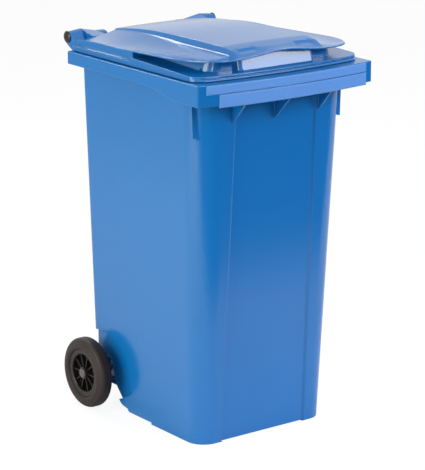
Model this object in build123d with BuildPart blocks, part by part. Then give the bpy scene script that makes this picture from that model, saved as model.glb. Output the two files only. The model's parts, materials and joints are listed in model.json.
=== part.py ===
"""A two-wheeled wheelie bin with a hinged lid, modelled in its own frame.

The front of the bin faces -Y, +Z is up, and the origin lies on the ground under the
middle of the bin. All sizes are in millimetres.
"""
from build123d import *
import math
import os

# Overall sizes
overall_width = 580.0  # across the rim, and across the outer faces of the wheels
overall_depth = 706.0  # from the comb's face to the back of the hinge
body_height = 1016.0  # from the ground to the top of the rim
front_bow = 22.0  # how far the rim's front bows forward between its corners

# Tub
tub_wall = 4.0
floor_top = 12.0
foot_depth = 6.0
foot_margin = 26.0
foot_rib_half = 20.0
foot_length = 225.0
rim_overhang_side = 39.5
side_draft = 34.0
comb_overhang = 62.0
front_draft = 57.0
rear_draft = 4.0
front_corner_bottom = 52.0
front_corner_top = 80.0
rear_corner_radius = 22.0
rear_step = 6.0  # from the back of the rim forward to the top of the rear wall

# Recessed front panel
panel_depth = 8.0
panel_half_bottom = 138.0
panel_half_top = 128.0
panel_bottom = 5.0
toe_depth = 14.0

# Rim and comb
rim_deck = 5.0
rim_skirt = 4.0
side_band = 34.0
front_band = 56.0
band_sweep_start = 267.0  # from the comb's face back to where the side band is full width
band_sweep_length = 163.0
rim_corner = 7.0
rim_edge = 1.5
rim_rear_setback = 58.0  # from the hinge axis forward to the back of the rim
comb_proud = 3.0
comb_upper_half = 265.0
comb_lower_left = 227.0
comb_lower_right = 265.0
comb_lower_drop = 6.0  # how far the lower band hangs below the rim's corners
comb_split = 26.0
comb_groove = 2.0
comb_edge = 1.8

# Gussets under the comb and fins at the front corners
gusset_spacing = 143.0
gusset_thickness = 4.0
gusset_drop = 67.0
gusset_tip_height = 3.0
fin_thickness = 4.0
fin_setback = 107.0
fin_drop = 102.0
fin_proud_top = 2.0
fin_reach = 36.0
fin_slant = 9.0

# Wheels and axle
wheel_diameter = 200.0
wheel_setback = 105.0  # from the hinge axis forward to the axle
tyre_width = 43.0
tyre_seat_radius = 67.0
tyre_shoulder = 13.0
tyre_bead = 3.0
rim_lip = 3.0
rim_ring_inner = 54.0
hub_radius = 20.0
hub_inset = 5.0
web_thickness = 4.0
web_inset = 24.0
spoke_count = 10
spoke_thickness = 2.6
spoke_depth = 13.0
axle_radius = 10.0
axle_clearance = 0.05
axle_end_inset = 10.0
hub_length = 47.0
cap_radius = 13.0
cap_thickness = 3.0
cap_dome = 1.9
spacer_radius = 16.0
spacer_gap = 0.3

# Axle housing under the back of the tub
housing_half_inset = 87.0  # from the outer face of the wheel to the housing's end
housing_front = 54.0
housing_rear = 30.0
housing_top = 46.0
housing_bottom = 39.0
housing_wall = 4.0
housing_web_count = 7
housing_web_inset = 18.0
lower_back_step = 6.0
heel_setback = 130.0  # from the axle forward to the end of the flat heel
heel_chamfer = 8.0
sole_setback = 94.0  # from the axle forward to where the lower back begins to rise
sole_height = 19.0
sole_round = 25.0
knee_setback = 48.0
knee_drop = 34.0
knee_round = 40.0
waist_setback = 31.0
waist_rise = 34.0
waist_round = 12.0
shelf_rise = 47.0  # from the axle up to the back of the shelf over the housing

# Wheel arches in the sides
arch_radius = 137.0
arch_drop = 20.0
arch_setback = 9.0
arch_depth = 15.0
arch_floor = 61.0  # height of the recess's lower edge at its front end
arch_floor_slope = 0.47

# Wheel lock: a sprung pin in the hub that drops into a groove in the axle
lock_pin_radius = 3.0
lock_pin_clearance = 0.05
lock_collar_radius = 4.6
lock_collar_height = 3.0
lock_inset = 8.0
lock_groove_depth = 2.5
lock_groove_play = 0.6
lock_tip_gap = 0.3
lock_bore_radius = 5.0
lock_boss_wall = 3.0
lock_boss_height = 42.0
lock_plug_height = 5.0
spring_wire = 0.9
spring_turns = 6.0
spring_play = 0.25
spring_seat_gap = 0.05

# Hinge and handle
hinge_height = 26.0  # hinge axis above the rim
knuckle_radius = 19.0
handle_radius = 13.5
handle_drop = 18.0  # from the hinge axis down to the middle of the handle bar
outer_lug_inset = 42.0
outer_lug_width = 41.0
inner_lug_inner = 128.0
inner_lug_width = 20.0
lug_gap = 2.0
lug_root = 31.0
arm_angle = 27.0
pin_radius = 5.0
pin_clearance = 0.05
pin_head_radius = 16.5
pin_head_dome = 5.5
pin_head_flange = 2.5
pin_tip = 3.0

# Lid
lid_wall = 3.5
lid_seat_gap = 2.0
lid_side_inset = 14.0
lid_front_inset = 35.0
lid_rear_gap = 4.0
lid_front_corner = 45.0
lid_rear_corner = 10.0
skirt_front_height = 10.0
skirt_middle_height = 22.0
skirt_rear_height = 13.0
hood_side_inset = 10.0
hood_rear_inset = 8.0
hood_length = 278.0
riser_side_inset = 64.0
riser_front_inset = 52.0
riser_corner = 40.0
nose_half = 125.0
nose_proud = 22.0
nose_corner = 12.0
lip_inset = 42.0  # from the comb's face back to the lid's lip
lip_half = 214.0
lip_corner = 16.0
wing_inset = 24.0
wing_rear_inset = 28.0
wing_bend_length = 172.0  # from the lip back to where the side edges begin to draw in
wing_bow_length = 100.0
wing_bow_inset = 13.0
lip_flare = 12.0
lip_flare_length = 22.0
lid_height = 72.0  # top of the spine above the rim
spine_level_length = 245.0
spine_drop = 25.0
spine_curve = 2.3
spine_crown = 2.0
spine_foot_front = 147.0
spine_foot_rear = 140.0
spine_step_front = 17.0
spine_step_rear = 4.0
spine_side_run = 8.0
spine_spans = 5
ridge_setback = 45.0
ridge_drop = 5.0
ridge_roll = 32.0
wing_lip_height = 52.0
wing_middle_height = 38.0
wing_rear_height = 29.0
lip_middle_height = 62.0
lip_dip_height = 50.0
lip_dip_half = 112.0
lip_foot_rise = 0.4
lid_spare = 20.0  # how far the lid's working volumes run past its top and bottom
wing_rise_start = 0.35
wing_fall_end = 0.25

# Places worked out from the sizes
half_width = overall_width / 2
front_y = -overall_depth / 2
hinge_y = overall_depth / 2 - knuckle_radius
hinge_z = body_height + hinge_height
rim_rear_y = hinge_y - rim_rear_setback
rim_front_y = front_y + comb_proud
rim_low = body_height - front_band
wheel_radius = wheel_diameter / 2
wheel_y = hinge_y - wheel_setback
wheel_z = wheel_radius
wheel_outer = half_width
wheel_inner = wheel_outer - tyre_width
housing_half = wheel_outer - housing_half_inset
hub_inner = wheel_outer - hub_inset - hub_length
axle_end = wheel_outer - axle_end_inset
lock_x = wheel_inner + lock_inset
lock_rest = axle_radius - lock_groove_depth + lock_tip_gap
spring_base = hub_radius + lock_collar_height
spring_top = lock_boss_height - lock_plug_height
lid_bottom = body_height + lid_seat_gap
lid_rear_y = rim_rear_y - lid_rear_gap
lip_y = front_y + lip_inset
lid_half = half_width - lid_side_inset
hood_front_y = lid_rear_y - hood_length
hinge_axis = Axis((0, hinge_y, hinge_z), (1, 0, 0))
axle_axis = Axis((0, wheel_y, wheel_z), (1, 0, 0))
outer_lug_end = half_width - outer_lug_inset
outer_lug_start = outer_lug_end - outer_lug_width
inner_lug_end = inner_lug_inner + inner_lug_width
knuckle_start = inner_lug_end + lug_gap
knuckle_end = outer_lug_start - lug_gap


def between(low, high, share):
    """The value a share of the way from low to high."""
    return low + (high - low) * share


def comb_face_y(x):
    """The comb's bowed face at a place across the bin."""
    return front_y + front_bow * (x / half_width) ** 2


def front_wall_y(z):
    """Outer face of the tub's front wall at a height."""
    return front_y + comb_overhang + front_draft * (1 - z / body_height)


def side_wall_x(z):
    """Outer face of the tub's side wall at a height."""
    return half_width - rim_overhang_side - side_draft * (1 - z / body_height)


def front_corner(z):
    """Radius of the tub's front corners at a height."""
    return between(front_corner_bottom, front_corner_top, z / body_height)


def side_plane(x):
    """A plane across the bin at x, with local x along +Y and local y along +Z."""
    return Plane(origin=(x, 0, 0), x_dir=(0, 1, 0), z_dir=(1, 0, 0))


def dome_points(face, radius, height):
    """Start, middle and top of a ball-shaped dome of a radius and height on a face."""
    ball = (radius ** 2 + height ** 2) / (2 * height)
    half_angle = math.asin(radius / ball) / 2
    middle = (face + height - ball * (1 - math.cos(half_angle)), ball * math.sin(half_angle))
    return (face, radius), middle, (face + height, 0)


def wheel_plane(side):
    """A plane through the axle, with local x outboard and local y upward."""
    return Plane(origin=(0, wheel_y, wheel_z), x_dir=(side, 0, 0), z_dir=(0, -side, 0))


def tub_solid(inset, low):
    """The tapered tub as one solid, its walls drawn in by an inset, from low to the rim."""
    with BuildPart() as tub:
        for z in (low, body_height):
            rear = rim_rear_y - rear_step - rear_draft * (1 - z / body_height)
            front = front_wall_y(z)
            with BuildSketch(Plane.XY.offset(z)) as outline:
                with Locations((0, (front + rear) / 2)):
                    Rectangle(2 * (side_wall_x(z) - inset), rear - front - 2 * inset)
                fillet(outline.vertices().group_by(Axis.Y)[0], front_corner(z) - inset)
                fillet(outline.vertices().group_by(Axis.Y)[-1], rear_corner_radius - inset)
        loft(ruled=True)
    return tub.part


def panel_wedge(grow):
    """The space in front of the recessed panel, grown towards the inside of the tub."""
    top = rim_low + grow
    slant = grow * math.tan(math.radians(22.5))
    outside = 20.0
    with BuildPart() as wedge:
        for z in (panel_bottom, top):
            share = (z - panel_bottom) / (rim_low - panel_bottom)
            half = between(panel_half_bottom, panel_half_top, share) + slant
            back = front_wall_y(z) + panel_depth + grow
            reach = panel_depth + grow + outside
            with BuildSketch(Plane.XY.offset(z)):
                with BuildLine():
                    Polyline((-half, back), (half, back), (half + reach, back - reach),
                             (-half - reach, back - reach), close=True)
                make_face()
        loft(ruled=True)
    return wedge.part


def lower_back(grow):
    """The space under and behind the lower back of the tub, grown into the tub."""
    foot_back = front_wall_y(0) + foot_length
    far = overall_depth
    with BuildPart() as space:
        with BuildSketch(Plane.YZ) as back:
            with BuildLine():
                start = (foot_back, lower_back_step)
                heel = (wheel_y - heel_setback, lower_back_step)
                step = (heel[0] + heel_chamfer, heel[1] + heel_chamfer)
                sole = (wheel_y - sole_setback, sole_height)
                knee = (wheel_y - knee_setback, wheel_z - knee_drop)
                waist = (wheel_y - waist_setback, wheel_z + waist_rise)
                shelf = (rim_rear_y + 1, wheel_z + shelf_rise)
                Polyline(start, heel, step, sole, knee, waist, shelf, (far, shelf[1]),
                         (far, -far), (foot_back, -far), close=True)
            make_face()
            for place, radius in ((sole, sole_round), (knee, knee_round), (waist, waist_round)):
                fillet(back.vertices().sort_by_distance((*place, 0))[0], radius)
            if grow > 0:
                offset(amount=grow)
        extrude(amount=half_width, both=True)
    return space.part


def arch_pockets(grow):
    """The shallow wheel-arch recesses in both sides, grown into the tub."""
    face_x = side_wall_x(wheel_z) - arch_depth - grow
    with BuildPart() as pockets:
        with BuildSketch(side_plane(face_x)):
            with Locations((wheel_y - arch_setback, wheel_z - arch_drop)):
                Circle(arch_radius + grow)
            reach = 2 * arch_radius
            start = wheel_y - arch_setback - arch_radius
            low = arch_floor - grow * math.hypot(1, arch_floor_slope)
            fall = arch_floor_slope * reach
            with BuildLine():
                Polyline((start - reach, low + fall), (start + reach, low - fall),
                         (start + reach, -reach), (start - reach, -reach), close=True)
            make_face(mode=Mode.SUBTRACT)
        extrude(amount=half_width)
        mirror(about=Plane.YZ)
    return pockets.part


def rim_block(inset, top):
    """The rim's outer block, or with an inset the block of its hollow underside."""
    side = half_width - inset
    front = rim_front_y + inset
    rear = rim_rear_y - inset
    with BuildPart() as block:
        with BuildSketch(Plane.XY.offset(rim_low)) as outline:
            with BuildLine():
                Polyline((side, front + front_bow), (side, rear), (-side, rear),
                         (-side, front + front_bow))
                ThreePointArc((-side, front + front_bow), (0, front), (side, front + front_bow))
            make_face()
            fillet(outline.vertices(), rim_corner - inset / 2)
        extrude(amount=top - rim_low)
        if inset == 0:
            fillet(block.edges().group_by(Axis.Z)[-1], rim_edge)
    return block.part


def side_band_relief():
    """The space under the rim's side bands, outside the tub, sweeping down to the comb."""
    full = front_y + band_sweep_start
    swept = full - band_sweep_length
    high = body_height - side_band
    middle = (full + swept) / 2
    below = rim_low - front_band
    with BuildPart() as relief:
        with BuildSketch(Plane.YZ):
            with BuildLine():
                centre = (middle, (high + rim_low) / 2)
                TangentArc((full, high), centre, tangent=(-1, 0))
                TangentArc((swept, rim_low), centre, tangent=(1, 0))
                Polyline((swept, rim_low), (swept, below), (overall_depth, below),
                         (overall_depth, high), (full, high))
            make_face()
        extrude(amount=half_width + 1, both=True)
        add(tub_solid(0, 0), mode=Mode.SUBTRACT)
    return relief.part


def on_comb_face(edge):
    """Whether an edge lies on the comb's bowed face."""
    middle = edge.position_at(0.5)
    return abs(middle.Y - comb_face_y(middle.X)) < comb_edge / 2


def comb_bands():
    """The two raised bands across the comb's face."""
    upper_low = body_height - comb_split
    band_back = comb_proud + rim_skirt / 2
    with BuildPart() as bands:
        for left, right, low, high in (
            (-comb_upper_half, comb_upper_half, upper_low, body_height - rim_edge),
            (-comb_lower_left, comb_lower_right, rim_low - comb_lower_drop,
             upper_low - comb_groove),
        ):
            middle = (left + right) / 2
            with BuildSketch(Plane.XY.offset(low)):
                with BuildLine():
                    face = [(x, comb_face_y(x)) for x in (left, middle, right)]
                    inner = [(x, y + band_back) for x, y in reversed(face)]
                    ThreePointArc(*face)
                    Line(face[-1], inner[0])
                    ThreePointArc(*inner)
                    Line(inner[-1], face[0])
                make_face()
            extrude(amount=high - low)
        fillet(bands.edges().filter_by(on_comb_face), comb_edge)
    return bands.part


def gussets():
    """Three triangular gussets between the front wall and the underside of the comb."""
    tip_z = rim_low - gusset_drop
    back = front_wall_y(body_height) + panel_depth + front_corner_bottom
    with BuildPart() as plates:
        for x in (-gusset_spacing, 0, gusset_spacing):
            front = comb_face_y(x) + comb_proud + rim_skirt * 0.75
            with BuildSketch(side_plane(x)):
                with BuildLine():
                    Polyline((front_wall_y(tip_z), tip_z), (front, rim_low - gusset_tip_height),
                             (front, body_height - rim_deck), (back, body_height - rim_deck),
                             (back, tip_z), close=True)
                make_face()
            extrude(amount=gusset_thickness / 2, both=True)
    return plates.part


def corner_fins():
    """Thin upright fins under the rim at both front corners."""
    low = rim_low - fin_drop
    outer_top = side_wall_x(rim_low) + fin_proud_top
    outer_low = side_wall_x(low) + fin_proud_top
    y = front_y + fin_setback
    with BuildPart() as fins:
        with BuildSketch(Plane(origin=(0, y, 0), x_dir=(1, 0, 0), z_dir=(0, -1, 0))):
            with BuildLine():
                Polyline((outer_top - fin_reach, body_height - rim_deck),
                         (outer_top, body_height - rim_deck), (outer_top, rim_low),
                         (outer_low, low), (outer_low - fin_reach, low + fin_slant), close=True)
            make_face()
        extrude(amount=fin_thickness / 2, both=True)
        mirror(about=Plane.YZ)
    return fins.part


def axle_housing():
    """The hollow housing across the lower back, with the webs that carry the axle."""
    front = wheel_y - housing_front
    rear = wheel_y + housing_rear
    low = wheel_z - housing_bottom
    high = wheel_z + housing_top
    centre = ((front + rear) / 2, (low + high) / 2)
    with BuildPart() as housing:
        with BuildSketch(Plane.YZ):
            with Locations(centre):
                Rectangle(rear - front, high - low)
            with Locations((centre[0] - housing_wall / 2, centre[1])):
                Rectangle(rear - front - housing_wall, high - low - 2 * housing_wall,
                          mode=Mode.SUBTRACT)
        extrude(amount=housing_half, both=True)
        web_half = housing_half - housing_web_inset
        for index in range(housing_web_count):
            x = between(-web_half, web_half, index / (housing_web_count - 1))
            with BuildSketch(side_plane(x)):
                with Locations(centre):
                    Rectangle(rear - front, high - low)
            extrude(amount=housing_wall / 2, both=True)
    return housing.part


def arm_edge():
    """How far a hinge arm's edges meet its barrel beside and above the axis."""
    angle = math.radians(arm_angle)
    return knuckle_radius * math.sin(angle), knuckle_radius * math.cos(angle)


def hinge_lugs():
    """The four lugs behind the rim and the handle bar between the inner two."""
    root_y = rim_rear_y - rim_skirt
    clear_y = rim_rear_y + rim_edge
    lean, flank = arm_edge()
    with BuildPart() as lugs:
        for low, high in ((inner_lug_inner, inner_lug_end), (outer_lug_start, outer_lug_end)):
            with BuildSketch(side_plane(low)):
                with Locations((hinge_y, hinge_z)):
                    Circle(knuckle_radius)
                with BuildLine():
                    Polyline((root_y, body_height - lug_root), (root_y, body_height - rim_edge),
                             (clear_y, body_height - rim_edge), (hinge_y - lean, hinge_z + flank),
                             (hinge_y + lean, hinge_z - flank), close=True)
                make_face()
            extrude(amount=high - low)
        mirror(about=Plane.YZ)
        with BuildSketch(side_plane(-inner_lug_inner)):
            with Locations((hinge_y, hinge_z - handle_drop)):
                Circle(handle_radius)
        extrude(amount=2 * inner_lug_inner)
    return lugs.part


def pin_bores(start, end, radius):
    """Bores for the hinge pins on both sides."""
    with BuildPart() as bores:
        with BuildSketch(side_plane(start)):
            with Locations((hinge_y, hinge_z)):
                Circle(radius)
        extrude(amount=end - start)
        mirror(about=Plane.YZ)
    return bores.part


def foot_hollows():
    """Shallow hollows under the front foot, and the set-back toe under the panel."""
    front = front_wall_y(0) + foot_margin + toe_depth
    back = front_wall_y(0) + foot_length - foot_margin
    outer = side_wall_x(0) - foot_margin - front_corner_bottom / 3
    with BuildPart() as hollows:
        with BuildSketch():
            with Locations(((outer + foot_rib_half) / 2, (front + back) / 2)):
                Rectangle(outer - foot_rib_half, back - front)
        extrude(amount=foot_depth)
        mirror(about=Plane.YZ)
        toe = front_wall_y(0) + panel_depth
        with BuildSketch():
            with Locations((0, toe + (toe_depth - 3 * panel_depth) / 2)):
                Rectangle(2 * panel_half_bottom, toe_depth + 3 * panel_depth)
        extrude(amount=panel_bottom)
    return hollows.part


def make_body():
    """The tub with its rim, comb, hinge lugs, handle and axle housing, one moulding."""
    with BuildPart() as cavity:
        add(tub_solid(tub_wall, 0))
        add(panel_wedge(tub_wall), mode=Mode.SUBTRACT)
        add(lower_back(tub_wall), mode=Mode.SUBTRACT)
        add(arch_pockets(tub_wall), mode=Mode.SUBTRACT)
        with BuildSketch():
            Rectangle(overall_width, overall_depth)
        extrude(amount=floor_top, mode=Mode.SUBTRACT)
    with BuildPart() as channel:
        add(rim_block(rim_skirt, body_height - rim_deck))
        add(tub_solid(0, 0), mode=Mode.SUBTRACT)
    with BuildPart() as body:
        add(tub_solid(0, 0))
        add(panel_wedge(0), mode=Mode.SUBTRACT)
        add(lower_back(0), mode=Mode.SUBTRACT)
        add(arch_pockets(0), mode=Mode.SUBTRACT)
        add(foot_hollows(), mode=Mode.SUBTRACT)
        add(rim_block(0, body_height))
        add(side_band_relief(), mode=Mode.SUBTRACT)
        add(channel.part, mode=Mode.SUBTRACT)
        add(comb_bands())
        add(gussets())
        add(corner_fins())
        add(axle_housing())
        add(hinge_lugs())
        add(cavity.part, mode=Mode.SUBTRACT)
        add(pin_bores(inner_lug_inner + pin_tip, outer_lug_end, pin_radius + pin_clearance),
            mode=Mode.SUBTRACT)
        with BuildSketch(side_plane(-half_width)):
            with Locations((wheel_y, wheel_z)):
                Circle(axle_radius + axle_clearance)
        extrude(amount=overall_width, mode=Mode.SUBTRACT)
    body.part.label = "body"
    return body


def spine_back(y):
    """How far back along the falling part of the spine a place lies, from 0 to 1."""
    level = lip_y + spine_level_length
    return max(0.0, y - level) / (lid_rear_y - level)


def wing_height(y):
    """Height of the lid's side edge above the rim."""
    share = (lid_rear_y - y) / (lid_rear_y - lip_y)
    rise = max(0.0, share - wing_rise_start) / (1 - wing_rise_start)
    fall = max(0.0, 1 - share / wing_fall_end) ** 2
    return (wing_middle_height + (wing_lip_height - wing_middle_height) * rise
            - (wing_middle_height - wing_rear_height) * fall)


def lid_section(y):
    """Heights and half-widths of the lid's top across the bin at a place along it."""
    back = spine_back(y)
    along = (lid_rear_y - y) / (lid_rear_y - lip_y)
    top = lid_height - spine_drop * back ** spine_curve
    ridge_y = lip_y + ridge_setback
    top -= ridge_drop * max(0.0, 1 - (y - ridge_y) / ridge_roll)
    foot_x = between(spine_foot_rear, spine_foot_front, along)
    foot = lid_height - spine_drop * back ** spine_curve
    foot -= between(spine_step_front, spine_step_rear, back)
    return top, foot_x - spine_side_run, foot, foot_x, wing_height(y)


def lid_mass(drop):
    """Everything under the lid's top surface, or with a drop under its inner surface."""
    ridge_y = lip_y + ridge_setback
    level_y = lip_y + spine_level_length
    stations = [between(lid_rear_y, level_y, span / spine_spans) for span in range(spine_spans)]
    stations += [level_y, ridge_y + ridge_roll, ridge_y]
    rows = [(y, *lid_section(y)) for y in stations]
    rows.append((lip_y, lip_dip_height, lip_dip_half, lip_dip_height + lip_foot_rise,
                 spine_foot_front, wing_lip_height))
    reach = half_width
    low = lid_bottom - lid_spare - drop
    with BuildPart() as mass:
        for y, top, top_x, foot, foot_x, wing in rows:
            crown = lip_middle_height if y == lip_y else top + spine_crown
            zero = body_height - drop
            wing_x = half_width - wing_inset
            slope = (foot - wing) / (wing_x - foot_x)
            edge = zero + wing - slope * (reach - wing_x)
            with BuildSketch(Plane(origin=(0, y, 0), x_dir=(-1, 0, 0), z_dir=(0, 1, 0))):
                with BuildLine():
                    ThreePointArc((-top_x + drop, zero + top), (0, zero + crown),
                                  (top_x - drop, zero + top))
                    Polyline((top_x - drop, zero + top), (foot_x - drop, zero + foot),
                             (reach, edge), (reach, low), (-reach, low), (-reach, edge),
                             (-foot_x + drop, zero + foot), (-top_x + drop, zero + top))
                make_face()
        loft(ruled=True)
    return mass.part


def lid_plan():
    """The lid's top sheet seen from above, drawn out over the side grips and the lip."""
    wing_x = half_width - wing_inset
    rear_x = half_width - wing_rear_inset
    bend_y = lip_y + wing_bend_length
    bow = (wing_x - wing_bow_inset, bend_y - wing_bow_length)
    with BuildSketch(Plane.XY.offset(lid_bottom)) as plan:
        with BuildLine():
            rear = lid_rear_y - hood_rear_inset
            near = (lip_half + lip_flare, lip_y + lip_flare_length)
            Line((-rear_x, rear), (rear_x, rear))
            Line((rear_x, rear), (wing_x, bend_y))
            ThreePointArc((wing_x, bend_y), bow, near)
            Polyline(near, (lip_half, lip_y), (-lip_half, lip_y), (-near[0], near[1]))
            ThreePointArc((-near[0], near[1]), (-bow[0], bow[1]), (-wing_x, bend_y))
            Line((-wing_x, bend_y), (-rear_x, rear))
        make_face()
        fillet(plan.vertices().group_by(Axis.Y)[0], lip_corner)
    return plan.sketch


def riser_plan(inset):
    """The lid's walls seen from above: wide hood at the back, narrow riser and nose ahead."""
    hood_x = lid_half - hood_side_inset - inset
    riser_x = lid_half - riser_side_inset - inset
    rear = lid_rear_y - hood_rear_inset - inset
    step = hood_front_y + inset
    front = front_y + lid_front_inset + riser_front_inset + inset
    nose = front - nose_proud
    nose_x = nose_half - inset
    with BuildSketch(Plane.XY.offset(lid_bottom)) as plan:
        with BuildSketch(mode=Mode.PRIVATE) as riser:
            with Locations((0, (front + rear) / 2)):
                Rectangle(2 * riser_x, rear - front)
            fillet(riser.vertices().group_by(Axis.Y)[0], riser_corner - inset)
        with BuildSketch(mode=Mode.PRIVATE) as beak:
            with Locations((0, (nose + rear) / 2)):
                Rectangle(2 * nose_x, rear - nose)
            fillet(beak.vertices().group_by(Axis.Y)[0], nose_corner - inset)
        add(riser.sketch)
        add(beak.sketch)
        with Locations((0, (step + rear) / 2)):
            Rectangle(2 * hood_x, rear - step)
    return plan.sketch


def skirt_plan(inset):
    """The lid's skirt seen from above."""
    front = front_y + lid_front_inset + inset
    corner = front + front_bow * (lid_half / half_width) ** 2
    rear = lid_rear_y - inset
    side = lid_half - inset
    with BuildSketch(Plane.XY.offset(lid_bottom)) as plan:
        with BuildLine():
            Polyline((side, corner), (side, rear), (-side, rear), (-side, corner))
            ThreePointArc((-side, corner), (0, front), (side, corner))
        make_face()
        fillet(plan.vertices().group_by(Axis.Y)[0], lid_front_corner - inset)
        fillet(plan.vertices().group_by(Axis.Y)[-1], lid_rear_corner - inset)
    return plan.sketch


def skirt_profile(drop, low):
    """The space under the skirt's sloping ledge, drawn along the bin."""
    front = front_y
    with BuildPart() as profile:
        with BuildSketch(Plane.YZ):
            with BuildLine():
                Polyline((front, low), (front, lid_bottom + skirt_front_height - drop),
                         (hood_front_y, lid_bottom + skirt_middle_height - drop),
                         (hood_front_y, lid_bottom + skirt_rear_height - drop),
                         (lid_rear_y + 1, lid_bottom + skirt_rear_height - drop),
                         (lid_rear_y + 1, low), close=True)
            make_face()
        extrude(amount=half_width, both=True)
    return profile.part


def lid_knuckles():
    """The two hinge knuckles behind the lid, each on its arm."""
    root_y = lid_rear_y - hood_rear_inset
    lean, flank = arm_edge()
    with BuildPart() as knuckles:
        with BuildSketch(side_plane(knuckle_start)):
            with Locations((hinge_y, hinge_z)):
                Circle(knuckle_radius)
            with BuildLine():
                Polyline((root_y, lid_bottom + 1), (root_y, lid_bottom + wing_rear_height),
                         (hinge_y - lean, hinge_z + flank),
                         (hinge_y, hinge_z - knuckle_radius), close=True)
            make_face()
        extrude(amount=knuckle_end - knuckle_start)
        mirror(about=Plane.YZ)
    return knuckles.part


def make_lid():
    """The lid: skirt, hood, riser, spine, side grips, lip and hinge knuckles."""
    tall = lid_height + lid_spare
    with BuildPart() as sheet:
        extrude(lid_plan(), amount=tall)
        add(lid_mass(0), mode=Mode.INTERSECT)
        add(lid_mass(lid_wall), mode=Mode.SUBTRACT)
    with BuildPart() as walls:
        extrude(riser_plan(0), amount=tall)
        extrude(riser_plan(lid_wall), amount=tall, mode=Mode.SUBTRACT)
        add(lid_mass(lid_wall / 2), mode=Mode.INTERSECT)
        add(skirt_profile(lid_wall, lid_bottom), mode=Mode.SUBTRACT)
    with BuildPart() as inside:
        extrude(skirt_plan(lid_wall), amount=tall)
        add(skirt_profile(lid_wall, 0), mode=Mode.INTERSECT)
    with BuildPart() as ledge:
        extrude(skirt_plan(0), amount=tall)
        add(skirt_profile(0, 0), mode=Mode.INTERSECT)
        add(inside.part, mode=Mode.SUBTRACT)
        extrude(riser_plan(lid_wall), amount=tall, mode=Mode.SUBTRACT)
    with BuildPart() as lid:
        add(sheet.part)
        add(walls.part)
        add(ledge.part)
        add(lid_knuckles())
        add(pin_bores(knuckle_start, knuckle_end, pin_radius + pin_clearance),
            mode=Mode.SUBTRACT)
    lid.part.label = "lid"
    return lid


def make_hinge_pin(side):
    """A domed pin pushed in from the side through the lugs and the lid's knuckle."""
    head = outer_lug_end
    tip = inner_lug_inner + pin_tip + 1
    plane = Plane(origin=(0, hinge_y, hinge_z), x_dir=(side, 0, 0), z_dir=(0, -side, 0))
    with BuildPart() as pin:
        with BuildSketch(plane):
            rise = dome_points(head + pin_head_flange, pin_head_radius, pin_head_dome)
            with BuildLine():
                Polyline((tip, 0), (tip, pin_radius - pin_tip / 2),
                         (tip + pin_tip, pin_radius), (head, pin_radius),
                         (head, pin_head_radius), rise[0])
                ThreePointArc(*rise)
                Line(rise[-1], (tip, 0))
            make_face()
        revolve(axis=hinge_axis)
    return pin


def make_axle():
    """The steel axle, with a groove near each end for the wheel locks."""
    groove_half = lock_pin_radius + lock_groove_play
    groove = axle_radius - lock_groove_depth
    with BuildPart() as axle:
        with BuildSketch(wheel_plane(1)):
            with BuildLine():
                Polyline((0, 0), (0, axle_radius), (lock_x - groove_half, axle_radius),
                         (lock_x - groove_half, groove), (lock_x + groove_half, groove),
                         (lock_x + groove_half, axle_radius), (axle_end - 1, axle_radius),
                         (axle_end, axle_radius - 1), (axle_end, 0), close=True)
            make_face()
        revolve(axis=axle_axis)
        mirror(about=Plane.YZ)
    axle.part.label = "axle"
    return axle


def make_spacer(side):
    """A sleeve on the axle between the housing and the wheel's hub."""
    with BuildPart() as spacer:
        with BuildSketch(side_plane(side * housing_half)):
            with Locations((wheel_y, wheel_z)):
                Circle(spacer_radius)
                Circle(axle_radius + axle_clearance, mode=Mode.SUBTRACT)
        extrude(amount=side * (hub_inner - housing_half - spacer_gap))
    return spacer


def make_tyre(side):
    """A solid rubber tyre with rounded shoulders and a raised bead on its outer wall."""
    low = wheel_inner
    high = wheel_outer - tyre_bead
    shoulder = wheel_radius - tyre_shoulder
    with BuildPart() as tyre:
        with BuildSketch(wheel_plane(side)) as section:
            with BuildLine():
                Polyline((low + rim_lip, tyre_seat_radius), (high - rim_lip, tyre_seat_radius))
                Line((high - rim_lip, tyre_seat_radius), (high, tyre_seat_radius + rim_lip))
                ThreePointArc((high, tyre_seat_radius + rim_lip),
                              (wheel_outer, (tyre_seat_radius + rim_lip + shoulder) / 2),
                              (high, shoulder))
                ThreePointArc((high, shoulder),
                              (high - tyre_shoulder * 0.3, wheel_radius - tyre_shoulder * 0.3),
                              (high - tyre_shoulder, wheel_radius))
                Line((high - tyre_shoulder, wheel_radius), (low + tyre_shoulder, wheel_radius))
                ThreePointArc((low + tyre_shoulder, wheel_radius),
                              (low + tyre_shoulder * 0.3, wheel_radius - tyre_shoulder * 0.3),
                              (low, shoulder))
                Polyline((low, shoulder), (low, tyre_seat_radius + rim_lip),
                         (low + rim_lip, tyre_seat_radius))
            make_face()
        revolve(axis=axle_axis)
    return tyre


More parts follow.
